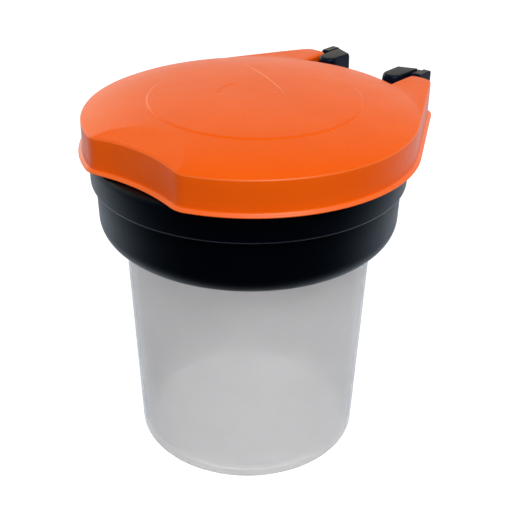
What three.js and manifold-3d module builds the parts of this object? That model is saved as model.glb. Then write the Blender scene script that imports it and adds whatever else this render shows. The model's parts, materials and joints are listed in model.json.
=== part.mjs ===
// A cup with a screwed two-part collar and a hinged, domed lid, built from separate closed pieces.
// Millimetres, +Z up. The origin is the centre of the cup's flat base, the hinge is at +Y and the
// lid's finger recess is at -Y.

import * as THREE from "three";
import { mergeVertices } from "three/addons/utils/BufferGeometryUtils.js";
import Module from "manifold-3d";

const wasm = await Module();
wasm.setup();

// ---------------------------------------------------------------- driving dimensions

const ROUND_STEPS = 48; // facets round the big round pieces
const SMALL_STEPS = 16; // facets round pins, holes and screws
const GAP = 0.3; // air between two pieces that rest on or turn in each other

const LID_RADIUS = 62; // the lid's upright wall, outside
const LID_EDGE_Z = 138.6; // the edge where the wall turns into the dome
const LID_CROWN_Z = 144.6; // the top of the dome
const LID_WALL_FOOT_Z = 127.2; // where the wall flares out into the flange
const LID_FLANGE_WIDTH = 1.6;
const LID_FLANGE_Z = 125.9; // the lid's lower edge
const LID_WALL = 2.1;

const EAR_TANGENT = { x: 54.7, y: 29.1 }; // where an ear's side leaves the round wall
const EAR_CORNER_X = 31; // the ear's outer back corner
const EAR_INNER_X = 22.3; // the ear's wall beside the hinge arm
const EAR_BACK_Y = 75;

const RECESS_DEPTH_Y = -55.2; // deepest point of the finger recess in the front wall
const RECESS_RADIUS = 79.8; // curve of the recess, seen from above
const SCOOP_SLOPE = 0.45; // rise of the scooped dome behind the recess

const CUP_BASE_RADIUS = 45.75;
const CUP_DRAFT = 0.03175; // how fast the cup widens with height
const CUP_WALL = 2;
const CUP_FLOOR = 2.4;
const CUP_BASE_FILLET = 3;
const CUP_RIM_Z = 118;
const CUP_FLANGE = { radius: 55, bottom: 96.8, top: 99.2 };

const RING_BOTTOM_Z = 91.4; // the locking ring hugs the cup here
const RING_TOP_Z = 114.3;
const RING_RADIUS = 58.4; // outside, at its top
const RING_FILLET = 8.6;
const RING_HOLE_RADIUS = 49.3;
const RING_THREAD_RADIUS = 55.8; // inside, round the collar's skirt

const COLLAR_RADIUS = 60.3;
const COLLAR_WALL = 2.2;
const COLLAR_DECK_Z = 125.4;
const SKIRT = { outer: 55.4, inner: 52.9, bottom: 101.2 };
const NECK = { outer: 51.3, inner: 48.9, top: 132 };
const THROAT_RADIUS = 47.6;

const SEAL = { outer: 51.7, inner: 48.5, bottom: NECK.top + GAP, top: 135.4 };
const RETAINER = { wall: 1.2, lipZ: 133, webTop: 138.3 }; // the ring that holds the seal

const PIVOT = { y: 78, z: 123.5 }; // the hinge rod's axis, parallel to X
const ROD_RADIUS = 1.8;
const BARREL_RADIUS = 4.6; // of the bracket, the washers and the arms round the rod
const ARM = { inner: 12.8, outer: 20.5, topZ: 140.2, frontY: 69.5, rearY: 79.3 };
const KNUCKLE = { outer: 26, frontY: 75.5, rearY: 84, bottomZ: 130, topZ: 139.6, slot: 0.9, slotZ: 136 };
const BRACKET = { half: 11.2, bottomZ: 115.2, topZ: 125.2, plateY: 64, armZ: 121.3 };
const ARM_SCREW = { x: 16.65, headY: 54.8, seatY: 56.6, tipY: 68, shank: 1.3, head: 2, z: [129.6, 134] };
const BRACKET_SCREW = { x: 8, z: 118.1, headY: 66.1, seatY: 64.3, tipY: 56.2, shank: 1.3, head: 2.4 };

// ---------------------------------------------------------------- materials

const plastic = (color, roughness) => new THREE.MeshStandardMaterial({ color, roughness, metalness: 0 });
const orangePlastic = plastic(0xe85c14, 0.45);
const blackPlastic = plastic(0x14171c, 0.5);
const frostedPlastic = plastic(0xd4d4d6, 0.6);
const softRubber = plastic(0x2a2a2c, 0.9);
const clearSilicone = plastic(0xd8d6d0, 0.8);
const steel = new THREE.MeshStandardMaterial({ color: 0xb8bcc0, roughness: 0.35, metalness: 1 });

// ---------------------------------------------------------------- shape helpers

// The closed solid of a geometry whose faces meet edge to edge.
function solid(geometry) {
  const bare = geometry.clone();
  bare.deleteAttribute("normal");
  bare.deleteAttribute("uv");
  const merged = mergeVertices(bare, 1e-4);
  const corners = [];
  for (let i = 0; i < merged.index.count; i += 3) {
    const [a, b, c] = [0, 1, 2].map((k) => merged.index.getX(i + k));
    if (a !== b && b !== c && c !== a) corners.push(a, b, c);
  }
  const vertProperties = new Float32Array(merged.attributes.position.array);
  const triVerts = new Uint32Array(corners);
  return new wasm.Manifold(new wasm.Mesh({ numProp: 3, vertProperties, triVerts }));
}

// A solid of revolution about the Z axis. The profile is [radius, z] points that run up the outside
// and down the inside; a profile off the axis is closed on itself.
function turned(profile, steps = ROUND_STEPS) {
  const points = profile.map(([radius, z]) => new THREE.Vector2(radius, z));
  const onAxis = profile[0][0] === 0 && profile.at(-1)[0] === 0;
  if (!onAxis) points.push(points[0].clone());
  return solid(new THREE.LatheGeometry(points, steps).rotateX(Math.PI / 2));
}

// A level slab of the given outline between two heights.
function slab(shape, bottom, top, bevel = {}) {
  const options = { depth: top - bottom, bevelEnabled: false, curveSegments: 12, ...bevel };
  return solid(new THREE.ExtrudeGeometry(shape, options).translate(0, 0, bottom));
}

// A slab across the hinge: the outline is in (y, z) and it runs from one x to the other.
function across(shape, fromX, toX) {
  const geometry = new THREE.ExtrudeGeometry(shape, { depth: toX - fromX, bevelEnabled: false, curveSegments: 8 });
  const turn = new THREE.Matrix4().makeBasis(
    new THREE.Vector3(0, 1, 0),
    new THREE.Vector3(0, 0, 1),
    new THREE.Vector3(1, 0, 0),
  );
  return solid(geometry.applyMatrix4(turn).translate(fromX, 0, 0));
}

function box(lo, hi) {
  const size = hi.map((value, axis) => value - lo[axis]);
  const centre = hi.map((value, axis) => (value + lo[axis]) / 2);
  return solid(new THREE.BoxGeometry(...size).translate(...centre));
}

// A round bar along X or Y.
function barX(radius, fromX, toX, y, z) {
  const bar = new THREE.CylinderGeometry(radius, radius, toX - fromX, SMALL_STEPS);
  return solid(bar.rotateZ(Math.PI / 2).translate((fromX + toX) / 2, y, z));
}

function barY(radius, fromY, toY, x, z) {
  const bar = new THREE.CylinderGeometry(radius, radius, toY - fromY, SMALL_STEPS);
  return solid(bar.translate(x, (fromY + toY) / 2, z));
}

function polygon(points) {
  return new THREE.Shape(points.map(([x, y]) => new THREE.Vector2(x, y)));
}

// Points along a quarter arc about a centre, from one angle to another, in degrees.
function arc(centreR, centreZ, radius, fromDeg, toDeg, steps) {
  return Array.from({ length: steps + 1 }, (_, i) => {
    const angle = THREE.MathUtils.degToRad(fromDeg + ((toDeg - fromDeg) * i) / steps);
    return [centreR + radius * Math.cos(angle), centreZ + radius * Math.sin(angle)];
  });
}

const cupRadiusAt = (z) => CUP_BASE_RADIUS + CUP_DRAFT * z;

// The dome's profile from its rim to its crown, [radius, z], lowered by `drop`.
function domeProfile(rimRadius, drop, steps) {
  const curve = new THREE.CubicBezierCurve(
    new THREE.Vector2(rimRadius, LID_EDGE_Z - drop),
    new THREE.Vector2(rimRadius - 5, LID_EDGE_Z + 4.4 - drop),
    new THREE.Vector2(30, LID_CROWN_Z + 0.2 - drop),
    new THREE.Vector2(0, LID_CROWN_Z - drop),
  );
  const points = curve.getPoints(steps).map((point) => [point.x, point.y]);
  points.at(-1)[0] = 0;
  return points;
}

// ---------------------------------------------------------------- cup and collar

function cup() {
  const inner = (z) => cupRadiusAt(z) - CUP_WALL;
  const fillet = CUP_BASE_FILLET;
  const baseCentre = cupRadiusAt(fillet) - fillet;
  const innerFillet = 2.5;
  const floorCentre = inner(CUP_FLOOR + innerFillet) - innerFillet;
  return turned([
    [0, 0],
    ...arc(baseCentre, fillet, fillet, -90, 0, 4),
    [cupRadiusAt(CUP_FLANGE.bottom), CUP_FLANGE.bottom],
    [CUP_FLANGE.radius, CUP_FLANGE.bottom],
    [CUP_FLANGE.radius, CUP_FLANGE.top],
    [cupRadiusAt(CUP_FLANGE.top), CUP_FLANGE.top],
    [cupRadiusAt(CUP_RIM_Z), CUP_RIM_Z - 0.6],
    [cupRadiusAt(CUP_RIM_Z) - 0.6, CUP_RIM_Z],
    [inner(CUP_RIM_Z), CUP_RIM_Z],
    ...arc(floorCentre, CUP_FLOOR + innerFillet, innerFillet, 0, -90, 3),
    [0, CUP_FLOOR],
  ]);
}

function lockingRing() {
  const filletCentre = { r: RING_RADIUS - 0.3 - RING_FILLET, z: RING_BOTTOM_Z + RING_FILLET };
  const floorZ = CUP_FLANGE.bottom - GAP;
  return turned([
    [RING_HOLE_RADIUS, RING_BOTTOM_Z],
    ...arc(filletCentre.r, filletCentre.z, RING_FILLET, -90, 0, 7),
    [RING_RADIUS, RING_TOP_Z - 0.4],
    [RING_RADIUS - 0.4, RING_TOP_Z],
    [RING_THREAD_RADIUS, RING_TOP_Z],
    [RING_THREAD_RADIUS, floorZ],
    [RING_HOLE_RADIUS, floorZ],
  ]);
}

function cupGasket() {
  const inner = cupRadiusAt(CUP_FLANGE.top) + 1.2;
  return turned([
    [inner, CUP_FLANGE.top + GAP],
    [CUP_FLANGE.radius, CUP_FLANGE.top + GAP],
    [CUP_FLANGE.radius, SKIRT.bottom - GAP],
    [inner, SKIRT.bottom - GAP],
  ]);
}

// The collar: a skirt that screws into the ring, the visible band and deck, and the neck in the lid.
function hingeCollar() {
  const deckUnderside = COLLAR_DECK_Z - COLLAR_WALL;
  const bandBottom = RING_TOP_Z + GAP;
  const body = turned([
    [SKIRT.inner, SKIRT.bottom],
    [SKIRT.outer, SKIRT.bottom],
    [SKIRT.outer, deckUnderside],
    [COLLAR_RADIUS - COLLAR_WALL, deckUnderside],
    [COLLAR_RADIUS - COLLAR_WALL, bandBottom],
    [COLLAR_RADIUS, bandBottom],
    [COLLAR_RADIUS, COLLAR_DECK_Z - 0.8],
    [COLLAR_RADIUS - 0.8, COLLAR_DECK_Z],
    [NECK.outer, COLLAR_DECK_Z],
    [NECK.outer, NECK.top - 0.6],
    [NECK.outer - 0.6, NECK.top],
    [NECK.inner + 0.6, NECK.top],
    [NECK.inner, NECK.top - 0.6],
    [NECK.inner, CUP_RIM_Z + 2.5],
    [THROAT_RADIUS, CUP_RIM_Z + 1.8],
    [THROAT_RADIUS, CUP_RIM_Z + 0.4],
    [SKIRT.inner, CUP_RIM_Z + 0.4],
  ]);
  return body.subtract(bracketScrewHoles());
}

// ---------------------------------------------------------------- lid

// An ear seen from above, on the side given by its sign, drawn in from its walls by `inset`.
function earOutline(side, inset) {
  const lean = Math.atan2(EAR_TANGENT.x - EAR_CORNER_X, EAR_BACK_Y - EAR_TANGENT.y);
  const backY = EAR_BACK_Y - inset;
  const sideShift = inset / Math.cos(lean);
  const outerX = (y) => EAR_TANGENT.x - sideShift - Math.tan(lean) * (y - EAR_TANGENT.y);
  const frontY = EAR_TANGENT.y - inset * Math.sin(lean);
  const innerX = EAR_INNER_X + inset;
  const points = [[innerX, frontY], [outerX(frontY), frontY], [outerX(backY), backY], [innerX, backY]];
  const mirrored = points.map(([x, y]) => [side * x, y]);
  return polygon(side > 0 ? mirrored : mirrored.reverse());
}

// The wall of an ear with the flange round its foot.
function ear(side) {
  const wall = slab(earOutline(side, 0), LID_FLANGE_Z, LID_EDGE_Z);
  const flare = {
    bevelEnabled: true,
    bevelSegments: 1,
    bevelSize: LID_FLANGE_WIDTH,
    bevelThickness: LID_WALL_FOOT_Z - LID_FLANGE_Z - 0.3,
  };
  const flange = slab(earOutline(side, 0), LID_FLANGE_Z, LID_FLANGE_Z + 0.3, flare);
  const below = box([-100, -100, LID_FLANGE_Z - 5], [100, 100, LID_FLANGE_Z]);
  const behind = box([-100, EAR_BACK_Y, 100], [100, EAR_BACK_Y + 10, 150]);
  return wall.add(flange.subtract(below).subtract(behind));
}

// Everything that the finger recess takes away, `grow` millimetres bigger all round.
function recessCutter(grow) {
  const centreY = RECESS_DEPTH_Y - RECESS_RADIUS;
  const radius = RECESS_RADIUS + grow;
  const reach = 30;
  const cutter = turned(
    [
      [0, LID_FLANGE_Z - 5],
      [radius - LID_FLANGE_WIDTH, LID_FLANGE_Z - 5],
      [radius - LID_FLANGE_WIDTH, LID_FLANGE_Z + 0.3],
      [radius, LID_WALL_FOOT_Z],
      [radius, LID_EDGE_Z - grow],
      [radius + reach, LID_EDGE_Z - grow + SCOOP_SLOPE * reach],
      [0, LID_EDGE_Z - grow + SCOOP_SLOPE * reach],
    ],
    2 * ROUND_STEPS,
  );
  return cutter.translate([0, centreY, 0]);
}

// The room for the hinge arms: what lies between the ears outside the round wall and its flange.
function notchCutter() {
  const between = box([-EAR_INNER_X, 40, LID_FLANGE_Z - 1], [EAR_INNER_X, 90, LID_CROWN_Z + 1]);
  return between.subtract(lidRoundBody());
}

function lidRoundBody() {
  const flangeRadius = LID_RADIUS + LID_FLANGE_WIDTH;
  return turned([
    [0, LID_FLANGE_Z],
    [flangeRadius, LID_FLANGE_Z],
    [flangeRadius, LID_FLANGE_Z + 0.3],
    [LID_RADIUS, LID_WALL_FOOT_Z],
    ...domeProfile(LID_RADIUS, 0, 9),
  ]);
}

function lidCavity() {
  const innerRadius = LID_RADIUS - LID_WALL;
  const round = turned([
    [0, LID_FLANGE_Z - 1],
    [innerRadius, LID_FLANGE_Z - 1],
    ...domeProfile(innerRadius, LID_WALL, 6),
  ]);
  const ears = [-1, 1].map((side) => slab(earOutline(side, LID_WALL), LID_FLANGE_Z - 1, LID_EDGE_Z - LID_WALL));
  return round.add(ears[0]).add(ears[1]).subtract(recessCutter(LID_WALL));
}

// The ring welded under the dome that holds the lid seal: two lips, a roof, and a web up to the dome.
function sealRetainer() {
  const inner = SEAL.inner - GAP;
  const outer = SEAL.outer + GAP;
  const roof = SEAL.top + GAP;
  const ring = turned([
    [outer, RETAINER.lipZ],
    [outer + RETAINER.wall, RETAINER.lipZ],
    [outer + RETAINER.wall, RETAINER.webTop],
    [outer, RETAINER.webTop],
    [outer, roof + RETAINER.wall],
    [inner - RETAINER.wall, roof + RETAINER.wall],
    [inner - RETAINER.wall, RETAINER.lipZ],
    [inner, RETAINER.lipZ],
    [inner, roof],
    [outer, roof],
  ]);
  return ring.subtract(recessCutter(LID_WALL + GAP));
}

function lidShell() {
  const outside = lidRoundBody().add(ear(-1)).add(ear(1)).subtract(notchCutter()).subtract(recessCutter(0));
  return outside.subtract(lidCavity()).subtract(armScrewHoles());
}

function lidSeal() {
  return turned([
    [SEAL.inner, SEAL.bottom],
    [SEAL.outer, SEAL.bottom],
    [SEAL.outer, SEAL.top],
    [SEAL.inner, SEAL.top],
  ]);
}

// ---------------------------------------------------------------- hinge

// Holes for the screws that hold the arms, through the lid's wall and into the arms.
function armScrewHoles() {
  const holes = [-1, 1].flatMap((side) =>
    ARM_SCREW.z.map((z) => barY(ARM_SCREW.shank + GAP, ARM_SCREW.seatY, ARM_SCREW.tipY + GAP, side * ARM_SCREW.x, z)),
  );
  return wasm.Manifold.union(holes);
}

function bracketScrewHoles() {
  const { x, z, shank, tipY, seatY } = BRACKET_SCREW;
  const holes = [-1, 1].map((side) => barY(shank + GAP, tipY - GAP, seatY + 1, side * x, z));
  return wasm.Manifold.union(holes);
}

// An arm's side view: from the lid's back wall, over the top plate and down to the rod.
function armShape() {
  const shape = new THREE.Shape();
  shape.moveTo(50, LID_WALL_FOOT_Z + GAP);
  shape.lineTo(LID_RADIUS + 4, LID_WALL_FOOT_Z + GAP);
  shape.lineTo(PIVOT.y - BARREL_RADIUS, PIVOT.z);
  shape.absarc(PIVOT.y, PIVOT.z, BARREL_RADIUS, Math.PI, 2 * Math.PI, false);
  shape.lineTo(ARM.rearY + 1.2, ARM.topZ - 1);
  shape.lineTo(ARM.rearY, ARM.topZ);
  shape.lineTo(ARM.frontY, ARM.topZ);
  shape.quadraticCurveTo(LID_RADIUS + 2.5, ARM.topZ - 0.3, LID_RADIUS - 0.5, ARM.topZ - 3.6);
  shape.lineTo(50, ARM.topZ - 3.6);
  return shape;
}

// The arm on the side given by its sign, with the knuckle block behind the ear.
function hingeArm(side) {
  const [fromX, toX] = side > 0 ? [ARM.inner, ARM.outer] : [-ARM.outer, -ARM.inner];
  const span = (inner, outer) => (side > 0 ? [inner, outer] : [-outer, -inner]);
  const [knuckleFrom, knuckleTo] = span(ARM.outer - 1, KNUCKLE.outer);
  const [slotFrom, slotTo] = span(ARM.outer, ARM.outer + KNUCKLE.slot);
  const knuckle = box([knuckleFrom, KNUCKLE.frontY, KNUCKLE.bottomZ], [knuckleTo, KNUCKLE.rearY, KNUCKLE.topZ]);
  const slot = box([slotFrom, KNUCKLE.frontY - 1, KNUCKLE.slotZ], [slotTo, KNUCKLE.rearY + 1, KNUCKLE.topZ + 1]);
  const lidSide = turned([
    [0, 100],
    [LID_RADIUS + GAP, 100],
    [LID_RADIUS + GAP, 150],
    [0, 150],
  ]);
  const bore = barX(ROD_RADIUS + GAP, fromX - 1, toX + 1, PIVOT.y, PIVOT.z);
  return across(armShape(), fromX, toX)
    .add(knuckle.subtract(slot))
    .subtract(lidSide)
    .subtract(bore)
    .subtract(armScrewHoles());
}

function hingeBracket() {
  const shape = new THREE.Shape();
  shape.moveTo(50, BRACKET.bottomZ);
  shape.lineTo(BRACKET.plateY, BRACKET.bottomZ);
  shape.lineTo(BRACKET.plateY, BRACKET.armZ);
  shape.lineTo(PIVOT.y - 1, PIVOT.z - BARREL_RADIUS);
  shape.absarc(PIVOT.y, PIVOT.z, BARREL_RADIUS, -Math.PI / 2, Math.PI / 2, false);
  shape.lineTo(PIVOT.y - 1, PIVOT.z + BARREL_RADIUS);
  shape.lineTo(PIVOT.y - BARREL_RADIUS - 2, BRACKET.topZ);
  shape.lineTo(50, BRACKET.topZ);
  const collarSide = turned([
    [0, 100],
    [COLLAR_RADIUS + GAP, 100],
    [COLLAR_RADIUS + GAP, 150],
    [0, 150],
  ]);
  const bore = barX(ROD_RADIUS + GAP, -BRACKET.half - 1, BRACKET.half + 1, PIVOT.y, PIVOT.z);
  return across(shape, -BRACKET.half, BRACKET.half)
    .subtract(collarSide)
    .subtract(bore)
    .subtract(bracketScrewHoles());
}

function hingeRod() {
  const reach = ARM.outer + 1.5;
  return barX(ROD_RADIUS, -reach, reach, PIVOT.y, PIVOT.z);
}

// A cap pushed over one end of the rod, open towards it.
function rodCap(side) {
  const inner = ARM.outer + GAP;
  const outer = ARM.outer + 2.6;
  const [fromX, toX] = side > 0 ? [inner, outer] : [-outer, -inner];
  const blindEnd = ARM.outer + 1.5 + GAP;
  const [holeFrom, holeTo] = side > 0 ? [inner - 1, blindEnd] : [-blindEnd, -inner + 1];
  const cap = barX(3.2, fromX, toX, PIVOT.y, PIVOT.z);
  return cap.subtract(barX(ROD_RADIUS + GAP, holeFrom, holeTo, PIVOT.y, PIVOT.z));
}

function hingeWasher(side) {
  const inner = BRACKET.half + GAP;
  const outer = ARM.inner - GAP;
  const [fromX, toX] = side > 0 ? [inner, outer] : [-outer, -inner];
  const disc = barX(BARREL_RADIUS - 0.4, fromX, toX, PIVOT.y, PIVOT.z);
  return disc.subtract(barX(ROD_RADIUS + GAP, fromX - 1, toX + 1, PIVOT.y, PIVOT.z));
}

function armScrew(side, z) {
  const { x, headY, seatY, tipY, shank, head } = ARM_SCREW;
  return barY(head, headY, seatY, side * x, z).add(barY(shank, seatY - 1, tipY, side * x, z));
}

function bracketScrew(side) {
  const { x, z, headY, seatY, tipY, shank, head } = BRACKET_SCREW;
  return barY(head, seatY, headY, side * x, z).add(barY(shank, tipY, seatY + 1, side * x, z));
}

// ---------------------------------------------------------------- assembly

const tank = new THREE.Group();

function addPart(name, piece, material) {
  const { vertProperties, triVerts } = piece.getMesh();
  const geometry = new THREE.BufferGeometry();
  geometry.setAttribute("position", new THREE.BufferAttribute(new Float32Array(vertProperties), 3));
  geometry.setIndex(new THREE.BufferAttribute(new Uint32Array(triVerts), 1));
  const mesh = new THREE.Mesh(geometry, material);
  mesh.name = name;
  tank.add(mesh);
}

addPart("cup", cup(), frostedPlastic);
addPart("locking_ring", lockingRing(), blackPlastic);
addPart("cup_gasket", cupGasket(), softRubber);
addPart("hinge_collar", hingeCollar(), blackPlastic);
addPart("lid_shell", lidShell(), orangePlastic);
addPart("seal_retainer", sealRetainer(), orangePlastic);
addPart("lid_seal", lidSeal(), clearSilicone);
addPart("hinge_bracket", hingeBracket(), blackPlastic);
addPart("hinge_rod", hingeRod(), steel);

for (const [word, side] of [["left", -1], ["right", 1]]) {
  addPart(`hinge_arm_${word}`, hingeArm(side), blackPlastic);
  addPart(`hinge_washer_${word}`, hingeWasher(side), frostedPlastic);
  addPart(`rod_cap_${word}`, rodCap(side), blackPlastic);
  addPart(`bracket_screw_${word}`, bracketScrew(side), steel);
  addPart(`arm_screw_${word}_lower`, armScrew(side, ARM_SCREW.z[0]), steel);
  addPart(`arm_screw_${word}_upper`, armScrew(side, ARM_SCREW.z[1]), steel);
}

export default tank;
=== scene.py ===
"""The looks of a developing tank: frosted cup, black two-part collar and orange hinged lid.

Lengths in the shape code are millimetres in the frame's axes, turned into metres by MM when a mesh
is made. The lid is hinged at +Y and has its finger recess at -Y. Names ending in _R are radii, and
names ending in _X, _Y or _Z are places along that axis.
"""

import json
import math

import bmesh
import bpy
import numpy as np
from mathutils import Matrix, Vector


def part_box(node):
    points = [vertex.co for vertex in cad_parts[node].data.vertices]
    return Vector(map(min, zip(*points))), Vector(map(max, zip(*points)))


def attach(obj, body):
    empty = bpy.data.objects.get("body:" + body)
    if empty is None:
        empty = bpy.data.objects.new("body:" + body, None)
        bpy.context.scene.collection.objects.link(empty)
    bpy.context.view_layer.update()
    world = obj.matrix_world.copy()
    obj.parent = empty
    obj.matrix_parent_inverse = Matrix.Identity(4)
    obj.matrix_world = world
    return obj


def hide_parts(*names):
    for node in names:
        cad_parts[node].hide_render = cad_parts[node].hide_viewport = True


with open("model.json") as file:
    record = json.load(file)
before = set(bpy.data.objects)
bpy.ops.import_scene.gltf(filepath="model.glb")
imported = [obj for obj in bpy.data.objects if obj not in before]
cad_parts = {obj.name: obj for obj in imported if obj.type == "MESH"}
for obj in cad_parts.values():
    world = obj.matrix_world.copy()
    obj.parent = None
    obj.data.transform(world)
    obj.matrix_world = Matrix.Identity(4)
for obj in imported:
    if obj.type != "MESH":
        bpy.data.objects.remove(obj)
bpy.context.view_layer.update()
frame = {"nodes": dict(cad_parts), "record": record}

# ---------------------------------------------------------------- dimensions

MM = 0.001
ROUND_STEPS = 256  # facets round the big round pieces
GAP = 0.3  # air between the collar and the ring

CAMERA_PLACE = (0.2171, -0.2403, 0.2592)  # metres
CAMERA_HEADING = math.radians(131.44)
CAMERA_PITCH = math.radians(29.54)
CAMERA_ROLL = math.radians(0.74)
CAMERA_LENS = 64.05
CAMERA_SENSOR = 36.0

LID_R = 62.8
LID_CENTRE_Y = 0.7
LID_EDGE_Z = 138.6
LID_CROWN_Z = 144.6
LID_RIM_Z = 136  # the rounded rim is above this
LID_SLOPE = 0.35  # faces whose normals rise more than this aren't the wall
LID_FOOT_Z = 127.2  # where the wall flares out into the flange
LID_BOTTOM_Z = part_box("lid_shell")[0].z / MM
FLANGE = 1.6
LID_WALL = 2.1
EDGE_ROUND = 0.8
INNER_ROUND = 0.9
BACK_RISE = 1.0  # how much the dome is raised by the time it reaches the back

# The dome's profile as the corners (radius, z) of a Bezier curve, from the crown out to the rim.
DOME_CORNERS = (
    (0, LID_CROWN_Z),
    (28, LID_CROWN_Z + 0.3),
    (LID_R - 11, LID_EDGE_Z + 4.2),
    (LID_R, LID_EDGE_Z),
)

EAR_LEAN = math.radians(28.0)  # how far the ears' straight sides turn away from +Y
EAR_BACK_Y = 75.0
EAR_INNER_X = 22.3
EAR_CORNER_Y = 70  # behind this the outline's corners are softened further

RECESS_Y = -55.2
RECESS_R = 79.8
RECESS_CENTRE_Y = RECESS_Y - RECESS_R
RECESS_BLEND = 8.5

SCOOP_BACK_Y = -42.7
SCOOP_CORNER_X = 21.5
SCOOP_CORNER_Y = -57.9
SCOOP_LENGTH = SCOOP_BACK_Y - SCOOP_CORNER_Y
SCOOP_R = (SCOOP_CORNER_X ** 2 + SCOOP_LENGTH ** 2) / (2 * SCOOP_LENGTH)
SCOOP_CENTRE_Y = SCOOP_BACK_Y - SCOOP_R
SCOOP_SHOULDER = 0.3
SCOOP_EDGE_SHARE = 0.5  # the share of the dome's height that is left at the recess's wall

DISC_CENTRE = np.array([1.0, 1.8])
DISC_R = 39.85
DISC_STEP = 0.3
DENT_R = 13.9
DENT_WIDTH = 7
DENT_DEPTH = 0.16
DENT_TOWARD = math.radians(197)
DENT_SPREAD = (0.84, 0.93)  # cosines of the angles from DENT_TOWARD where the dent starts and is full
STEP_SOFTNESS = 0.35  # half the width over which the disc and the dent change height
RELIEF_R = 42  # the disc and the dent lie inside this

LINE_POINTS = ((-28.2, 26.9), (-11.5, 21.6), (8.8, 9.6))
LINE_WIDTH = 0.6
LINE_RISE = 0.10
LINE_STEPS = 40

CUP_BASE_R = 45.75
CUP_DRAFT = 0.03175  # how fast the cup widens with height
CUP_WALL = 2.0
CUP_FLOOR = 2.4
CUP_FILLET = 0.8
CUP_INNER_FILLET = 1.5
CUP_RIM_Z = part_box("cup")[1].z / MM
CUP_HUB_R = 20  # a ring of points part of the way across the floor
CUP_FLANGE_R = 55
CUP_FLANGE_LOW_Z = 96.8
CUP_FLANGE_HIGH_Z = 99.2
BASE_GLOW_Z = 4.5  # the floor's clearer plastic, painted near white as painted light from beneath, reaches this high inside
BASE_CLEAR_R = 41.0  # and this far out underneath

RING_BOTTOM_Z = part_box("locking_ring")[0].z / MM
RING_TOP_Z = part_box("locking_ring")[1].z / MM
RING_R = 58.4
RING_TAPER = 0.3  # how much wider the ring is at its top than over the fillet
RING_FILLET = 8.6
RING_HOLE_R = 49.3
RING_THREAD_R = 55.8
RING_LEDGE_Z = 96.5
RING_MIDDLE_Z = 107
RING_LIP = 0.5

COLLAR_R = 60.3
COLLAR_DECK_Z = 125.4
COLLAR_WALL = 2.2
SKIRT_INNER_R = 52.9
SKIRT_OUTER_R = 55.4
SKIRT_BOTTOM_Z = 101.2
NECK_INNER_R = 48.9
NECK_OUTER_R = 51.3
NECK_TOP_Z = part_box("hinge_collar")[1].z / MM
THROAT_R = 47.6
THROAT_LOW_Z = 118.4

PIVOT_Y = 78.0
PIVOT_Z = 123.5
ARM_INNER_X = 12.8
ARM_WIDTH = 7.7
ARM_TOP_Z = 140.3
ARM_SEAT_Z = 127.6  # the underside where it leaves the lid's wall
ARM_SEAT_Y = 66.5  # and how far back it stays level
ARM_REAR_Z = 130  # the foot of the upright rear face
ARM_FRONT_Y = 65.0
ARM_FRONT_CURVE = 2.4  # how far the front's side edges lie behind its middle
ARM_REAR_Y = 78.7
ARM_REAR_SLANT = 3.2  # how much further back the outboard face reaches
ARM_BOSS_R = 4.6
ARM_STEPS = 16
ARM_GAP = 0.35  # between the arm and the lid's wall

BLOCK_FRONT_Y = 75.6
BLOCK_BOTTOM_Z = 130
# The blocks behind each ear: name, inner x, outer x, rear y and top z.
EAR_BLOCKS = (
    ("knuckle", 22.2, 25.6, 84.2, 139.9),
    ("web", 20.2, 22.4, 83.2, 139.6),
)


# ---------------------------------------------------------------- camera

def make_camera():
    data = bpy.data.cameras.new("camera")
    data.lens = CAMERA_LENS
    data.sensor_width = CAMERA_SENSOR
    data.clip_start = 0.01
    data.clip_end = 20.0
    camera = bpy.data.objects.new("camera", data)
    bpy.context.scene.collection.objects.link(camera)
    level = math.cos(CAMERA_PITCH)
    forward = Vector((
        math.cos(CAMERA_HEADING) * level,
        math.sin(CAMERA_HEADING) * level,
        -math.sin(CAMERA_PITCH),
    ))
    right = forward.cross(Vector((0, 0, 1))).normalized()
    up = right.cross(forward)
    turned_right = right * math.cos(CAMERA_ROLL) + up * math.sin(CAMERA_ROLL)
    turned_up = up * math.cos(CAMERA_ROLL) - right * math.sin(CAMERA_ROLL)
    rotation = Matrix((turned_right, turned_up, -forward)).transposed().to_4x4()
    camera.matrix_world = Matrix.Translation(CAMERA_PLACE) @ rotation
    bpy.context.scene.camera = camera


make_camera()


# ---------------------------------------------------------------- mesh helpers

def make_object(name, points, faces, sharp_angle=35):
    """A smooth-shaded mesh object from points in millimetres, welded where points meet."""
    mesh = bpy.data.meshes.new(name)
    mesh.from_pydata([tuple(float(v) * MM for v in p) for p in points], [], [tuple(f) for f in faces])
    work = bmesh.new()
    work.from_mesh(mesh)
    bmesh.ops.remove_doubles(work, verts=work.verts, dist=0.004 * MM)
    bmesh.ops.recalc_face_normals(work, faces=work.faces)
    work.to_mesh(mesh)
    work.free()
    mesh.shade_smooth()
    mesh.set_sharp_from_angle(angle=math.radians(sharp_angle))
    piece = bpy.data.objects.new(name, mesh)
    bpy.context.scene.collection.objects.link(piece)
    return piece


def softened(profile):
    """A closed profile of (radius, z, cut) corners with each corner rounded over `cut` millimetres."""
    out = []
    count = len(profile)
    for i, (r, z, cut) in enumerate(profile):
        here = np.array([r, z])
        before = np.array(profile[i - 1][:2])
        after = np.array(profile[(i + 1) % count][:2])
        if cut <= 0:
            out.append(here)
            continue
        start = here + (before - here) / np.linalg.norm(before - here) * cut
        end = here + (after - here) / np.linalg.norm(after - here) * cut
        for t in np.linspace(0, 1, 5):
            out.append((1 - t) ** 2 * start + 2 * t * (1 - t) * here + t ** 2 * end)
    return out


def arc(centre_r, centre_z, radius, start_deg, end_deg, steps):
    """Profile points (radius, z) along a circle's arc."""
    angles = np.radians(np.linspace(start_deg, end_deg, steps + 1))
    return [np.array([centre_r + radius * math.cos(a), centre_z + radius * math.sin(a)]) for a in angles]


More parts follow.
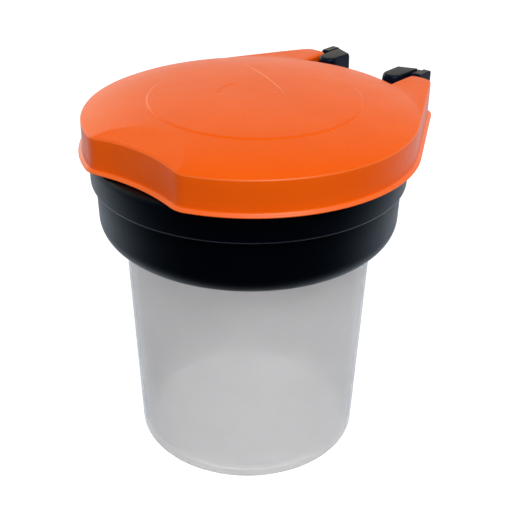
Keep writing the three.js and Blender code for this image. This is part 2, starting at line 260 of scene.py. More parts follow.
def turned(name, profile, closed=True):
    """A round piece about the Z axis from a profile of (radius, z) points.

    A profile that isn't closed starts and ends on the axis.
    """
    ring = np.array([p[:2] for p in profile])
    count = len(ring)
    points = []
    for k in range(ROUND_STEPS):
        angle = 2 * math.pi * k / ROUND_STEPS
        points += [(r * math.cos(angle), r * math.sin(angle), z) for r, z in ring]
    faces = []
    spans = count if closed else count - 1
    for k in range(ROUND_STEPS):
        here = k * count
        there = ((k + 1) % ROUND_STEPS) * count
        for i in range(spans):
            j = (i + 1) % count
            faces.append((here + i, there + i, there + j, here + j))
    return make_object(name, points, faces)


def slab(name, outline, low_x, high_x):
    """A closed slab of a (y, z) outline between two places along X."""
    count = len(outline)
    points = [(x, y, z) for x in (low_x, high_x) for y, z in outline]
    faces = [tuple(range(count)), tuple(range(2 * count - 1, count - 1, -1))]
    faces += [(i, (i + 1) % count, count + (i + 1) % count, count + i) for i in range(count)]
    return make_object(name, points, faces)


def round_edges(piece, width, segments=3, angle=35):
    """Rounds the edges sharper than `angle` degrees, by `width` millimetres."""
    bevel = piece.modifiers.new("edge_round", "BEVEL")
    bevel.width = width * MM
    bevel.segments = segments
    bevel.limit_method = "ANGLE"
    bevel.angle_limit = math.radians(angle)
    bevel.harden_normals = True


def add_piece(piece, body, material, slot, *nodes):
    """Gives a piece its material, puts it on its body, and lets it stand for CAD nodes; `slot` is not used.
    """
    piece.data.materials.clear()
    piece.data.materials.append(material)
    if nodes:
        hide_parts(*nodes)
    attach(piece, body)
    return piece


# ---------------------------------------------------------------- lid shape

def smoothstep(low, high, value):
    """0 below low, 1 above high, and a smooth rise between them."""
    t = np.clip((value - low) / (high - low), 0, 1)
    return t * t * (3 - 2 * t)


def dome_table():
    """Points (radius, z) along the dome's profile, from the crown out to the rim."""
    t = np.linspace(0, 1, 400)[:, None]
    weights = np.hstack([(1 - t) ** 3, 3 * t * (1 - t) ** 2, 3 * t * t * (1 - t), t ** 3])
    return weights @ np.array(DOME_CORNERS)


DOME = dome_table()


def lid_height(x, y):
    """The lid's top surface over the points x, y: dome, ears, scoop, raised disc and crescent dent."""
    radius = np.hypot(x, y - LID_CENTRE_Y)
    dome = np.where(radius < LID_R, np.interp(radius, DOME[:, 0], DOME[:, 1]), LID_EDGE_Z)
    dome = dome + BACK_RISE * np.clip((y - LID_CENTRE_Y) / LID_R, 0, 1)
    behind_wall = np.hypot(x, y - RECESS_CENTRE_Y) - RECESS_R
    inside_scoop = SCOOP_R - np.hypot(x, y - SCOOP_CENTRE_Y)
    share = np.clip(behind_wall, 0, None) / np.maximum(np.clip(behind_wall, 0, None) + inside_scoop, 1e-6)
    share = np.clip(share, 0, 1)
    kept = SCOOP_EDGE_SHARE + (1 - SCOOP_EDGE_SHARE) * share * (1 + SCOOP_SHOULDER * (1 - share))
    scooped = LID_EDGE_Z + (dome - LID_EDGE_Z) * kept
    height = np.where((inside_scoop > 0) & (y < 0), scooped, dome)
    from_centre = np.hypot(x - DISC_CENTRE[0], y - DISC_CENTRE[1])
    past_disc = smoothstep(DISC_R - STEP_SOFTNESS, DISC_R + STEP_SOFTNESS, from_centre)
    height = height + DISC_STEP * (1 - past_disc)
    toward = (x - DISC_CENTRE[0]) * math.cos(DENT_TOWARD) + (y - DISC_CENTRE[1]) * math.sin(DENT_TOWARD)
    window = smoothstep(*DENT_SPREAD, toward / np.maximum(from_centre, 1))
    inside = smoothstep(DENT_R - DENT_WIDTH, DENT_R - 0.5, from_centre)
    past_dent = smoothstep(DENT_R - STEP_SOFTNESS, DENT_R + STEP_SOFTNESS, from_centre)
    return height - DENT_DEPTH * window * inside * (1 - past_dent)


def half_outline(grow):
    """The lid's +X half from above, `grow` outside its wall, from the recess round to the back."""
    radius = LID_R + grow
    recess_r = RECESS_R - grow
    blend_r = RECESS_BLEND + grow
    to_blend = LID_R - RECESS_BLEND
    from_recess = RECESS_R + RECESS_BLEND
    apart = LID_CENTRE_Y - RECESS_CENTRE_Y
    blend_y = RECESS_CENTRE_Y + (from_recess ** 2 - to_blend ** 2 + apart ** 2) / (2 * apart)
    blend_x = math.sqrt(to_blend ** 2 - (blend_y - LID_CENTRE_Y) ** 2)
    recess_end = math.atan2(blend_y - RECESS_CENTRE_Y, blend_x)
    rim_start = math.atan2(blend_y - LID_CENTRE_Y, blend_x)
    notch_x = EAR_INNER_X - min(grow, 0)
    back_y = EAR_BACK_Y + min(grow, 0)
    side_x = radius * math.cos(EAR_LEAN)
    side_y = LID_CENTRE_Y + radius * math.sin(EAR_LEAN)
    back_x = side_x - (back_y - side_y) * math.tan(EAR_LEAN)
    notch_rise = math.sqrt(radius ** 2 - notch_x ** 2)
    points = []

    def run(count, make):
        points.extend(make(i / count) for i in range(count))

    def circle(centre_x, centre_y, r, start, end):
        return lambda t: (
            centre_x + r * math.cos(start + (end - start) * t),
            centre_y + r * math.sin(start + (end - start) * t),
        )

    def line(x0, y0, x1, y1):
        return lambda t: (x0 + (x1 - x0) * t, y0 + (y1 - y0) * t)

    run(24, circle(0, RECESS_CENTRE_Y, recess_r, math.pi / 2, recess_end))
    run(14, circle(blend_x, blend_y, blend_r, recess_end - math.pi, rim_start))
    run(120, circle(0, LID_CENTRE_Y, radius, rim_start, EAR_LEAN))
    run(60, line(side_x, side_y, back_x, back_y))
    run(12, line(back_x, back_y, notch_x, back_y))
    run(22, line(notch_x, back_y, notch_x, LID_CENTRE_Y + notch_rise))
    run(30, circle(0, LID_CENTRE_Y, radius, math.atan2(notch_rise, notch_x), math.pi / 2))
    points.append((0, LID_CENTRE_Y + radius))
    return points


def lid_outline(grow):
    """The whole outline, anticlockwise: softened all round in two turns, and at the ears in eight more."""
    right = half_outline(grow)
    left = [(-x, y) for x, y in reversed(right[1:-1])]
    outline = np.array(right + left)
    for turn in range(10):
        middle = (np.roll(outline, 1, 0) + np.roll(outline, -1, 0)) / 2
        softening = (outline[:, 1] > EAR_CORNER_Y) | (turn < 2)
        outline += (middle - outline) * (0.5 * softening)[:, None]
    return outline


def top_patch(edge, drop, rim):
    """Points and faces of the lid's top out to the outline `edge`, lowered by `drop`.

    `rim` is the radius of the outline's round part. Rings of points run out to it from the disc's
    centre, close together where the relief changes, and a few more rows fill the ears beyond it.
    """
    lid_centre = np.array([0, LID_CENTRE_Y])
    from_centre = edge - lid_centre
    in_ear = np.hypot(from_centre[:, 0], from_centre[:, 1]) > rim + 0.03
    anchors = edge.copy()
    for side in (1, -1):
        own = np.flatnonzero(in_ear & (edge[:, 0] * side > 0))
        first = math.atan2(from_centre[own[0], 1], from_centre[own[0], 0])
        last = math.atan2(from_centre[own[-1], 1], from_centre[own[-1], 0])
        angles = np.linspace(first, last, len(own))
        anchors[own] = lid_centre + rim * np.column_stack([np.cos(angles), np.sin(angles)])
    spokes = anchors - DISC_CENTRE
    lengths = np.linalg.norm(spokes, axis=1)
    directions = spokes / lengths[:, None]
    distances = np.concatenate([
        [0.8, 4, 8, 12], np.linspace(DENT_R - 0.5, DENT_R + 0.5, 5), [18, 23, 28, 33, 37],
        np.linspace(DISC_R - 0.5, DISC_R + 0.5, 7), [RELIEF_R],
    ])
    rows = [DISC_CENTRE + directions * distance for distance in distances]
    for t in np.linspace(0, 1, 24)[1:]:
        rows.append(DISC_CENTRE + directions * (RELIEF_R + (lengths - RELIEF_R) * t)[:, None])
    first_ear_band = len(rows) - 1
    rows += [anchors + (edge - anchors) * t for t in (0.25, 0.5, 0.75, 1.0)]
    count = len(edge)
    flat = np.vstack([DISC_CENTRE[None, :]] + rows)
    points = np.column_stack([flat, lid_height(flat[:, 0], flat[:, 1]) - drop])
    faces = [(0, 1 + i, 1 + (i + 1) % count) for i in range(count)]
    for k in range(len(rows) - 1):
        for i in range(count):
            j = (i + 1) % count
            if k >= first_ear_band and not (in_ear[i] or in_ear[j]):
                continue
            a, b = 1 + k * count, 1 + (k + 1) * count
            faces.append((a + i, b + i, b + j, a + j))
    return points, faces


def lid_piece():
    """The lid shell: top, rounded edge, wall, flared flange, and the hollow underside."""
    edge = lid_outline(-EDGE_ROUND)
    top, faces = top_patch(edge, 0, LID_R - EDGE_ROUND)
    rows = [np.column_stack([edge, lid_height(edge[:, 0], edge[:, 1])])]
    wall = lid_outline(0)
    corner = np.column_stack([wall, rows[0][:, 2] - 0.2])
    foot = corner - [0, 0, EDGE_ROUND]
    for t in (0.2, 0.4, 0.6, 0.8, 1.0):
        rows.append((1 - t) ** 2 * rows[0] + 2 * t * (1 - t) * corner + t * t * foot)
    # Down the wall, round the flange and up the inside, as (distance outside the wall, height).
    levels = [
        (0, 135), (0, 131), (0, LID_FOOT_Z + 0.6), (0.08, LID_FOOT_Z + 0.2), (0.3, LID_FOOT_Z - 0.15),
        (FLANGE - 0.3, 126.55), (FLANGE - 0.08, 126.35), (FLANGE, 126.15), (FLANGE - 0.08, 125.97),
        (FLANGE - 0.3, LID_BOTTOM_Z), (0.3 - LID_WALL, LID_BOTTOM_Z), (-LID_WALL, LID_BOTTOM_Z + 0.3),
        (-LID_WALL, 131), (-LID_WALL, 135.4),
    ]
    rows += [np.column_stack([lid_outline(grow), np.full(len(wall), z)]) for grow, z in levels]
    inner_edge = lid_outline(-LID_WALL - INNER_ROUND)
    below, below_faces = top_patch(inner_edge, LID_WALL, LID_R - LID_WALL - INNER_ROUND)
    ceiling = lid_height(inner_edge[:, 0], inner_edge[:, 1]) - LID_WALL
    base = rows[-1]
    inner_corner = base + [0, 0, INNER_ROUND]
    last = np.column_stack([inner_edge, ceiling])
    for t in (0.33, 0.66, 1.0):
        rows.append((1 - t) ** 2 * base + 2 * t * (1 - t) * inner_corner + t * t * last)
    points = list(top)
    start = len(points)
    count = len(wall)
    points += [p for row in rows for p in row]
    for k in range(len(rows) - 1):
        a, b = start + k * count, start + (k + 1) * count
        faces += [(a + i, b + i, b + (i + 1) % count, a + (i + 1) % count) for i in range(count)]
    shift = len(points)
    points += list(below)
    faces += [tuple(shift + v for v in reversed(f)) for f in below_faces]
    return make_object("lid", points, faces, 38)


def lid_line_piece():
    """The fine moulded line that curves over the lid's dome, thinning to nothing at its ends."""
    start, bend, end = (np.array(p) for p in LINE_POINTS)
    section = (
        (-LINE_WIDTH * 0.5, -0.01),
        (-LINE_WIDTH * 0.3, LINE_RISE),
        (LINE_WIDTH * 0.5, -0.01),
        (0, -0.3),
    )
    sides = len(section)
    points = []
    for k in range(LINE_STEPS + 1):
        t = k / LINE_STEPS
        spot = (1 - t) ** 2 * start + 2 * t * (1 - t) * bend + t * t * end
        run = (1 - t) * (bend - start) + t * (end - bend)
        across = np.array([-run[1], run[0]]) / np.linalg.norm(run)
        size = 0.1 + 0.9 * math.sin(math.pi * t) ** 0.6
        for shift, rise in section:
            x, y = spot + across * shift * size
            points.append((x, y, float(lid_height(x, y)) + rise * size))
    last = sides * LINE_STEPS
    faces = [tuple(range(sides)), tuple(range(last + sides - 1, last - 1, -1))]
    for k in range(LINE_STEPS):
        a, b = k * sides, (k + 1) * sides
        faces += [(a + i, a + (i + 1) % sides, b + (i + 1) % sides, b + i) for i in range(sides)]
    return make_object("lid_line", points, faces, 30)


# ---------------------------------------------------------------- round pieces

def cup_radius(z):
    return CUP_BASE_R + CUP_DRAFT * z


def cup_inner_radius(z):
    return cup_radius(z) - CUP_WALL


def cup_piece():
    """The cup: flat foot, tapered wall, clamping flange, rounded rim and filleted floor."""
    floor_round_z = CUP_FLOOR + CUP_INNER_FILLET
    floor_round_r = cup_inner_radius(floor_round_z) - CUP_INNER_FILLET
    rim_middle = cup_radius(CUP_RIM_Z) - CUP_WALL / 2
    profile = [(0, 0.0), (CUP_HUB_R, 0), (BASE_CLEAR_R, 0), (cup_radius(0) - CUP_FILLET - 0.4, 0)]
    profile += arc(cup_radius(CUP_FILLET) - CUP_FILLET, CUP_FILLET, CUP_FILLET, -90, 0, 8)
    profile += [(cup_radius(2), 2.0)]
    profile += [(cup_radius(z), z) for z in np.linspace(8, CUP_FLANGE_LOW_Z, 12)]
    profile += [(CUP_FLANGE_R, CUP_FLANGE_LOW_Z), (CUP_FLANGE_R, CUP_FLANGE_HIGH_Z)]
    profile += [(cup_radius(CUP_FLANGE_HIGH_Z), CUP_FLANGE_HIGH_Z)]
    profile += [(cup_radius(CUP_RIM_Z) - 0.02, CUP_RIM_Z - 0.8)]
    profile += arc(rim_middle, CUP_RIM_Z - CUP_WALL / 2, CUP_WALL / 2, 0, 180, 8)
    profile += [(cup_inner_radius(z), z) for z in np.linspace(112, 8, 12)]
    profile += [(cup_inner_radius(BASE_GLOW_Z), BASE_GLOW_Z)]
    profile += arc(floor_round_r, floor_round_z, CUP_INNER_FILLET, 0, -90, 8)
    profile += [(CUP_HUB_R, CUP_FLOOR), (0, CUP_FLOOR)]
    return turned("cup_shell", profile, closed=False)


def ring_piece():
    """The locking ring: rounded into the cup at its foot, with a plain bore for the collar's skirt."""
    centre_r = RING_R - RING_TAPER - RING_FILLET
    centre_z = RING_BOTTOM_Z + RING_FILLET
    profile = [(RING_HOLE_R, RING_BOTTOM_Z + 0.6), (RING_HOLE_R + 0.2, RING_BOTTOM_Z + 0.02)]
    profile += arc(centre_r, centre_z, RING_FILLET, -86, 0, 20)
    profile += [(RING_R - RING_TAPER / 2, RING_MIDDLE_Z), (RING_R, RING_TOP_Z - RING_LIP)]
    profile += arc(RING_R - RING_LIP, RING_TOP_Z - RING_LIP, RING_LIP, 0, 90, 4)
    profile += [(RING_THREAD_R, RING_TOP_Z), (RING_THREAD_R, RING_LEDGE_Z), (RING_HOLE_R, RING_LEDGE_Z)]
    return turned("locking_ring_shell", profile)


def collar_piece():
    """The hinge collar: outer band, deck, skirt inside the ring, and the neck that the lid closes on."""
    bottom = RING_TOP_Z + GAP
    deck_under = COLLAR_DECK_Z - COLLAR_WALL
    band_inner = COLLAR_R - COLLAR_WALL
    profile = softened([
        (SKIRT_INNER_R, SKIRT_BOTTOM_Z, 0),
        (SKIRT_OUTER_R, SKIRT_BOTTOM_Z, 0),
        (SKIRT_OUTER_R, deck_under, 0),
        (band_inner, deck_under, 0),
        (band_inner, bottom, 0.2),
        (COLLAR_R - 0.05, bottom, 0.6),
        (COLLAR_R, COLLAR_DECK_Z, 2.6),
        (NECK_OUTER_R, COLLAR_DECK_Z, 0.6),
        (NECK_OUTER_R, NECK_TOP_Z, 0.8),
        (NECK_INNER_R, NECK_TOP_Z, 0.8),
        (NECK_INNER_R, THROAT_LOW_Z + 2.1, 0.4),
        (THROAT_R, THROAT_LOW_Z + 1.4, 0.3),
        (THROAT_R, THROAT_LOW_Z, 0.3),
        (SKIRT_INNER_R, THROAT_LOW_Z, 0),
    ])
    return turned("hinge_collar_shell", profile)


# ---------------------------------------------------------------- hinge arms

def arm_x(share):
    return ARM_INNER_X + ARM_WIDTH * share


def arm_section(share):
    """An arm's side view (y, z) at a share of its width, from its inboard face to its outboard one."""
    x = arm_x(share)
    lid_y = LID_CENTRE_Y + math.sqrt((LID_R + ARM_GAP) ** 2 - x * x)
    rear_y = ARM_REAR_Y + ARM_REAR_SLANT * share
    front_y = ARM_FRONT_Y + ARM_FRONT_CURVE * abs(2 * share - 1) ** 3
    top = ARM_TOP_Z
    boss = [
        (PIVOT_Y + ARM_BOSS_R * math.cos(a), PIVOT_Z + ARM_BOSS_R * math.sin(a))
        for a in np.radians(np.linspace(195, 345, 12))
    ]
    rear = [(rear_y + 0.9, ARM_REAR_Z), (rear_y + 0.5, top - 1.4), (rear_y - 0.2, top)]
    nose = [
        (front_y + 2.2, top), (front_y + 1.3, top - 0.12), (front_y + 0.6, top - 0.5),
        (front_y + 0.2, top - 1.2), (front_y, top - 2.5), (front_y - 0.1, top - 5.0),
        (front_y - 0.5, top - 5.6), (lid_y, top - 6.0),
    ]
    return [(lid_y, ARM_SEAT_Z), (ARM_SEAT_Y, ARM_SEAT_Z)] + boss + rear + nose


def arm_piece(word, side):
    """One arm, from the lid's wall back over the hinge rod; side is -1 for left and 1 for right."""
    points = []
    for k in range(ARM_STEPS + 1):
        share = k / ARM_STEPS
        points += [(side * arm_x(share), y, z) for y, z in arm_section(share)]
    count = len(arm_section(0))
    faces = [tuple(range(count)), tuple(range(ARM_STEPS * count, (ARM_STEPS + 1) * count))]
    for k in range(ARM_STEPS):
        a, b = k * count, (k + 1) * count
        faces += [(a + i, a + (i + 1) % count, b + (i + 1) % count, b + i) for i in range(count)]
    arm = make_object(f"hinge_arm_{word}_body", points, faces, 40)
    round_edges(arm, 0.45, angle=50)
    return arm


def block_piece(name, side, inner_x, outer_x, rear_y, top):
    """A block behind an ear, upright at the rear, from inner_x out to outer_x on the arm's side."""
    outline = [
        (BLOCK_FRONT_Y, BLOCK_BOTTOM_Z), (rear_y, BLOCK_BOTTOM_Z), (rear_y, top - 0.4),
        (rear_y - 0.5, top), (BLOCK_FRONT_Y + 0.8, top), (BLOCK_FRONT_Y, top - 0.8),
    ]
    low_x, high_x = sorted((side * inner_x, side * outer_x))
    block = slab(name, outline, low_x, high_x)
    round_edges(block, 0.35, angle=30)
    return block


# ---------------------------------------------------------------- materials

def node_material(name):
    """A new material, its node tree and its main shader."""
    material = bpy.data.materials.new(name)
    material.use_nodes = True
    return material, material.node_tree, material.node_tree.nodes["Principled BSDF"]


def add_node(tree, kind, **values):
    node = tree.nodes.new(kind)
    for key, value in values.items():
        setattr(node, key, value)
    return node


def noise(tree, scale, detail, roughness=0.5):
    """Noise fixed to the object, `scale` cells to the metre."""
    coords = add_node(tree, "ShaderNodeTexCoord")
    texture = add_node(tree, "ShaderNodeTexNoise")
    texture.inputs["Scale"].default_value = scale
    texture.inputs["Detail"].default_value = detail
    texture.inputs["Roughness"].default_value = roughness
    tree.links.new(coords.outputs["Object"], texture.inputs["Vector"])
    return texture


def ramp(tree, source, stops):
    """A colour ramp over a value, from two or more stops of (position, colour)."""
    node = add_node(tree, "ShaderNodeValToRGB")
    elements = node.color_ramp.elements
    elements[0].position, elements[0].color = stops[0]
    elements[1].position, elements[1].color = stops[-1]
    for position, colour in stops[1:-1]:
        elements.new(position).color = colour
    tree.links.new(source, node.inputs["Fac"])
    return node


def spread(tree, source, low, high):
    """Stretches a 0 to 1 value over low to high."""
    node = add_node(tree, "ShaderNodeMapRange")
    node.inputs["To Min"].default_value = low
    node.inputs["To Max"].default_value = high
    tree.links.new(source, node.inputs["Value"])
    return node


def grain_bump(tree, shader, layers):
    """Stacks bump layers of (texture output, strength, distance in millimetres)."""
    last = None
    for height, strength, distance in layers:
        bump = add_node(tree, "ShaderNodeBump")
        bump.inputs["Strength"].default_value = strength
        bump.inputs["Distance"].default_value = distance * MM
        tree.links.new(height, bump.inputs["Height"])
        if last is not None:
            tree.links.new(last.outputs["Normal"], bump.inputs["Normal"])
        last = bump
    tree.links.new(last.outputs["Normal"], shader.inputs["Normal"])


def moulded_plastic(name, dark, light, rough, grain_scale, grain_depth, shine=0.5, sheen=(1, 1, 1)):
    """Moulded plastic with a fine grain and slightly uneven colour and gloss.

    `shine` is how much it reflects, `sheen` tints what it reflects, and `grain_depth` is in millimetres.
    """
    material, tree, shader = node_material(name)
    tone = noise(tree, 35, 4)
    colour = ramp(tree, tone.outputs["Fac"], [(0.3, (*dark, 1)), (0.7, (*light, 1))])
    tree.links.new(colour.outputs["Color"], shader.inputs["Base Color"])
    shader.inputs["Specular IOR Level"].default_value = shine
    shader.inputs["Specular Tint"].default_value = (*sheen, 1)
    gloss = noise(tree, 120, 3)
    gloss_range = spread(tree, gloss.outputs["Fac"], rough - 0.05, rough + 0.05)
    tree.links.new(gloss_range.outputs["Result"], shader.inputs["Roughness"])
    grain = noise(tree, grain_scale, 2, 0.6)
    waves = noise(tree, 90, 2)
    grain_bump(tree, shader, [(waves.outputs["Fac"], 0.15, 0.15), (grain.outputs["Fac"], 0.5, grain_depth)])
    return material


def frosted_plastic(name, dark, light, clear):
    """The cup's cloudy plastic, letting a share `clear` of the light through."""
    material, tree, shader = node_material(name)
    tone = noise(tree, 60, 3)
    colour = ramp(tree, tone.outputs["Fac"], [(0.3, (*dark, 1)), (0.7, (*light, 1))])
    tree.links.new(colour.outputs["Color"], shader.inputs["Base Color"])
    gloss = noise(tree, 200, 3)
    gloss_range = spread(tree, gloss.outputs["Fac"], 0.16, 0.22)
    tree.links.new(gloss_range.outputs["Result"], shader.inputs["Roughness"])
    shader.inputs["Transmission Weight"].default_value = clear
    shader.inputs["IOR"].default_value = 1.15
    shader.inputs["Specular IOR Level"].default_value = 0.3
    waves = noise(tree, 60, 2)
    grain_bump(tree, shader, [(waves.outputs["Fac"], 0.1, 0.1)])
    return material


def rubber(name, colour):
    """Matt rubber, faintly mottled."""
    material, tree, shader = node_material(name)
    tone = noise(tree, 300, 3)
    dark = tuple(c * 0.9 for c in colour)
    mix = ramp(tree, tone.outputs["Fac"], [(0.3, (*dark, 1)), (0.7, (*colour, 1))])
    tree.links.new(mix.outputs["Color"], shader.inputs["Base Color"])
    shader.inputs["Roughness"].default_value = 0.8
    grain = noise(tree, 1800, 2)
    grain_bump(tree, shader, [(grain.outputs["Fac"], 0.3, 0.03)])
    return material


def plated_steel():
    """Bright plated steel with a trace of grain."""
    material, tree, shader = node_material("plated_steel")
    tone = noise(tree, 400, 4)
    mix = ramp(tree, tone.outputs["Fac"], [(0.3, (0.55, 0.56, 0.58, 1)), (0.7, (0.68, 0.69, 0.7, 1))])
    tree.links.new(mix.outputs["Color"], shader.inputs["Base Color"])
    shader.inputs["Metallic"].default_value = 1.0
    gloss = noise(tree, 900, 3)
    gloss_range = spread(tree, gloss.outputs["Fac"], 0.25, 0.4)
    tree.links.new(gloss_range.outputs["Result"], shader.inputs["Roughness"])
    grain = noise(tree, 3000, 1)
    grain_bump(tree, shader, [(grain.outputs["Fac"], 0.15, 0.01)])
    return material


orange = moulded_plastic(
    "orange_plastic", (0.92, 0.106, 0.001), (0.96, 0.117, 0.002), 0.36, 1300, 0.28,
    shine=0.25, sheen=(1, 0.8, 0.2))
# Painted highlight: a paler orange for the moulded line on the dome, standing in for the light it catches.
line_highlight_orange = moulded_plastic(
    "line_highlight_orange", (0.97, 0.30, 0.11), (0.99, 0.34, 0.14), 0.45, 900, 0.05, shine=0.25)
# Painted highlight: a paler, glossier orange for the lid's rounded rim and the slope of its flange.
rim_highlight_orange = moulded_plastic(
    "rim_highlight_orange", (0.95, 0.145, 0.012), (0.98, 0.165, 0.025), 0.34, 1300, 0.05, shine=0.4)
black = moulded_plastic(
    "black_plastic", (0.0003, 0.0006, 0.0026), (0.0006, 0.0012, 0.0042), 0.40, 1800, 0.03,
    shine=0.28, sheen=(0.35, 0.7, 1))
hinge_black = moulded_plastic(
    "hinge_plastic", (0.0035, 0.0055, 0.014), (0.005, 0.0075, 0.019), 0.36, 1600, 0.03,
    shine=0.2, sheen=(0.3, 0.5, 1))
# Painted highlight: a lighter bluish black for the lower edge of the collar's band.
collar_edge_highlight = moulded_plastic("collar_edge_highlight", (0.021, 0.028, 0.042), (0.031, 0.040, 0.058), 0.34, 1800, 0.03)
white_nylon = moulded_plastic("white_nylon", (0.6, 0.6, 0.57), (0.68, 0.68, 0.65), 0.4, 1500, 0.02)
cup_plastic = frosted_plastic("frosted_cup", (0.76, 0.76, 0.77), (0.80, 0.80, 0.81), 0.64)
# Painted light: the cup's floor is painted near white to look lit from beneath, and it also lets more light
# through.
base_plastic_painted_light = frosted_plastic("frosted_base_painted_light", (0.95, 0.95, 0.955), (0.97, 0.97, 0.975), 0.85)
pale_rubber = rubber("pale_rubber", (0.62, 0.61, 0.57))
dark_rubber = rubber("dark_rubber", (0.03, 0.03, 0.03))
steel = plated_steel()


# ---------------------------------------------------------------- pieces on the frame

def refinish(piece, material, wanted):
    """Gives a second material to the faces that `wanted` picks."""
    piece.data.materials.append(material)
    for face in piece.data.polygons:
        if wanted(face):
            face.material_index = 1


def in_cup_floor(face):
    """The floor and the foot of the wall inside, and underneath all but the foot's rim: clearer plastic
    painted near white as painted light from beneath.
    """
    centre = face.center / MM
    reach = BASE_CLEAR_R if centre.z < CUP_FLOOR / 2 else CUP_BASE_R - CUP_WALL + 0.3
    return centre.z < BASE_GLOW_Z and math.hypot(centre.x, centre.y) < reach


def in_collar_highlight_edge(face):
    """The lower edge of the collar's band, where it overhangs the ring, painted lighter as a painted
    highlight.
    """
    centre = face.center / MM
    return centre.z < RING_TOP_Z + 0.8 and math.hypot(centre.x, centre.y) > COLLAR_R - 0.65


def in_lid_highlight_edges(face):
    """The lid's rounded rim and the slope of its flange, painted a paler orange as a painted highlight."""
    z = face.center.z / MM
    rim = z > LID_RIM_Z and LID_SLOPE < face.normal.z < 0.8
    flange = z < LID_FOOT_Z and face.normal.z > LID_SLOPE
    return rim or flange


def add_hinge_arm(word, side):
    node = f"hinge_arm_{word}"
    add_piece(arm_piece(word, side), "lid_body", hinge_black, "hinge_black", node)
    for kind, inner_x, outer_x, rear_y, top in EAR_BLOCKS:
        block = block_piece(f"hinge_{kind}_{word}", side, inner_x, outer_x, rear_y, top)
        add_piece(block, "lid_body", hinge_black, "hinge_black", node)


cup = add_piece(cup_piece(), "cup_body", cup_plastic, "cup_frosted", "cup")
# The floor gets the near-white painted light and the clearer plastic.
refinish(cup, base_plastic_painted_light, in_cup_floor)
add_piece(ring_piece(), "ring_body", black, "ring_black", "locking_ring")
collar = add_piece(collar_piece(), "collar_body", black, "collar_black", "hinge_collar")
# The collar band's lower edge gets the painted highlight.
refinish(collar, collar_edge_highlight, in_collar_highlight_edge)
lid = add_piece(lid_piece(), "lid_body", orange, "lid_orange", "lid_shell")
# The lid's rim and flange slope get the painted highlight.
refinish(lid, rim_highlight_orange, in_lid_highlight_edges)
# The moulded line is painted paler orange as a painted highlight.
add_piece(lid_line_piece(), "lid_body", line_highlight_orange, "lid_orange")
add_hinge_arm("left", -1)
add_hinge_arm("right", 1)

SLOT_MATERIALS = {
    "gasket_rubber": dark_rubber,
    "lid_orange": orange,
    "seal_rubber": pale_rubber,
    "hinge_black": hinge_black,
    "steel": steel,
    "washer_white": white_nylon,
}


def finish_cad_nodes():
    """The CAD nodes that stay: each gets its slot's material and softened edges."""
    for entry in frame["record"]["subparts"]:
        node = frame["nodes"][entry["node"]]
        if node.hide_render:
            continue
        node.data.materials.clear()
        node.data.materials.append(SLOT_MATERIALS[entry["material_slot"]])
        round_edges(node, 0.15, segments=2, angle=40)


finish_cad_nodes()


# ---------------------------------------------------------------- studio

# Level directions ahead of the camera and to its right.
AHEAD = Vector((math.cos(CAMERA_HEADING), math.sin(CAMERA_HEADING), 0))
RIGHT = Vector((math.sin(CAMERA_HEADING), -math.cos(CAMERA_HEADING), 0))
UP = Vector((0, 0, 1))

KEY_PLACE = -AHEAD * 0.60 + RIGHT * 0.28 + UP * 1.15
KEY_TARGET = Vector((0, 0, 0.10))
KEY_SIZE = (0.6, 0.5)
KEY_POWER = 8

# The glossy backdrop's colour at each height of direction, from -1, straight down, to 1, straight up.
BACKDROP = (
    (-1.0, (0.64, 0.71, 0.80)),
    (-0.1, (0.66, 0.71, 0.78)),
    (0.05, (0.92, 0.86, 0.76)),
    (0.4, (0.70, 0.64, 0.51)),
    (0.55, (0.54, 0.49, 0.36)),
    (0.75, (0.20, 0.18, 0.12)),
    (0.97, (0.08, 0.08, 0.07)),
)
BACKDROP_STRENGTH = 1.3
GLOW_TOWARD = AHEAD * 0.72 - RIGHT * 0.60 + UP * 0.34
GLOW = 2.2
ROOF_TOWARD = UP * 0.94 - AHEAD * 0.35
ROOF_GLOW = 2.0

# The plain white that each kind of ray sees in place of the backdrop, with its strength.
PLAIN_LIGHT = (("Is Diffuse Ray", 0.5), ("Is Transmission Ray", 0.85), ("Is Camera Ray", 1.0))

FLOOR_REACH = 3000
FLOOR_Z = -0.05
FLOOR_GLOW = 0.85


def key_light():
    data = bpy.data.lights.new("key_box", "AREA")
    data.shape = "RECTANGLE"
    data.size, data.size_y = KEY_SIZE
    data.energy = KEY_POWER
    light = bpy.data.objects.new("key_box", data)
    light.location = KEY_PLACE
    light.rotation_euler = (KEY_TARGET - KEY_PLACE).to_track_quat("-Z", "Y").to_euler()
    bpy.context.scene.collection.objects.link(light)


def direction_share(tree, toward, low, high, rise="SMOOTHSTEP"):
    """How far a world direction points toward a fixed direction, as 0 at low to 1 at high."""
    coords = add_node(tree, "ShaderNodeTexCoord")
    along = add_node(tree, "ShaderNodeVectorMath", operation="DOT_PRODUCT")
    along.inputs[1].default_value = tuple(toward)
    tree.links.new(coords.outputs["Generated"], along.inputs[0])
    share = add_node(tree, "ShaderNodeMapRange", interpolation_type=rise)
    share.inputs["From Min"].default_value = low
    share.inputs["From Max"].default_value = high
    tree.links.new(along.outputs["Value"], share.inputs["Value"])
    return share.outputs["Result"]


def math_node(tree, operation, first, second):
    """A sum or product of two values, each a number or another node's output."""
    node = add_node(tree, "ShaderNodeMath", operation=operation)
    for socket, value in zip(node.inputs, (first, second)):
        if isinstance(value, (int, float)):
            socket.default_value = value
        else:
            tree.links.new(value, socket)
    return node.outputs["Value"]


def glossy_light(tree):
    """How strong each direction is to glossy rays: the backdrop, and a soft glow left of it and above."""
    behind = direction_share(tree, AHEAD, -0.30, 0.60)
    glow = direction_share(tree, GLOW_TOWARD.normalized(), 0.86, 0.99)
    roof = direction_share(tree, ROOF_TOWARD.normalized(), 0.80, 0.95)
    light = math_node(tree, "MULTIPLY", behind, BACKDROP_STRENGTH)
    light = math_node(tree, "ADD", light, math_node(tree, "MULTIPLY", glow, GLOW))
    return math_node(tree, "ADD", light, math_node(tree, "MULTIPLY", roof, ROOF_GLOW))


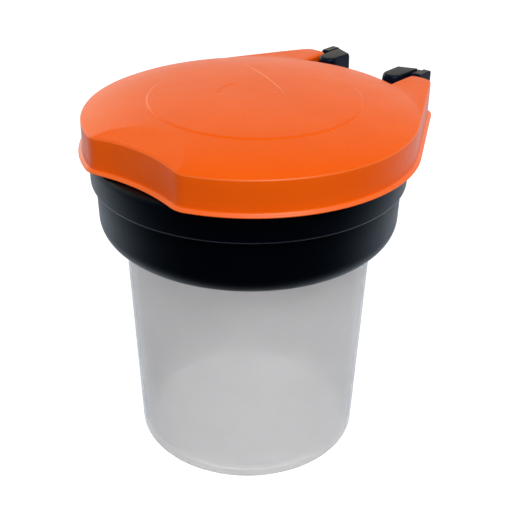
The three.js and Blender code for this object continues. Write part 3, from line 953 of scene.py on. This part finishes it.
def studio_world():
    """White to the eye and even light on matt surfaces, but a backdrop behind the object to glossy ones."""
    world = bpy.data.worlds.new("studio")
    world.use_nodes = True
    tree = world.node_tree
    height = direction_share(tree, UP, -1.0, 1.0, "LINEAR")
    backdrop_colour = ramp(tree, height, [((z + 1) / 2, (*colour, 1)) for z, colour in BACKDROP])
    rays = add_node(tree, "ShaderNodeLightPath")
    backdrop = tree.nodes["Background"]
    tree.links.new(backdrop_colour.outputs["Color"], backdrop.inputs["Color"])
    tree.links.new(glossy_light(tree), backdrop.inputs["Strength"])
    shown = backdrop.outputs["Background"]
    for output, strength in PLAIN_LIGHT:
        plain = add_node(tree, "ShaderNodeBackground")
        plain.inputs["Color"].default_value = (1, 1, 1, 1)
        plain.inputs["Strength"].default_value = strength
        mix = add_node(tree, "ShaderNodeMixShader")
        tree.links.new(rays.outputs[output], mix.inputs["Fac"])
        tree.links.new(shown, mix.inputs[1])
        tree.links.new(plain.outputs["Background"], mix.inputs[2])
        shown = mix.outputs["Shader"]
    tree.links.new(shown, tree.nodes["World Output"].inputs["Surface"])
    world.cycles.sampling_method = "NONE"
    bpy.context.scene.world = world


def studio_floor():
    """A pale floor that glows white, hidden from the glossy and diffuse rays that leave the object."""
    corners = [(x * FLOOR_REACH, y * FLOOR_REACH, FLOOR_Z) for x, y in ((-1, -1), (1, -1), (1, 1), (-1, 1))]
    floor = make_object("floor", corners, [(0, 1, 2, 3)])
    material, tree, shader = node_material("pale_floor")
    tone = noise(tree, 3, 2)
    mix = ramp(tree, tone.outputs["Fac"], [(0.3, (0.38, 0.38, 0.38, 1)), (0.7, (0.40, 0.40, 0.40, 1))])
    tree.links.new(mix.outputs["Color"], shader.inputs["Base Color"])
    shader.inputs["Roughness"].default_value = 0.9
    shader.inputs["Emission Color"].default_value = (1, 1, 1, 1)
    shader.inputs["Emission Strength"].default_value = FLOOR_GLOW
    floor.data.materials.append(material)
    floor.visible_glossy = False
    floor.visible_diffuse = False


key_light()
studio_floor()
studio_world()
bpy.context.scene.view_settings.view_transform = "Standard"
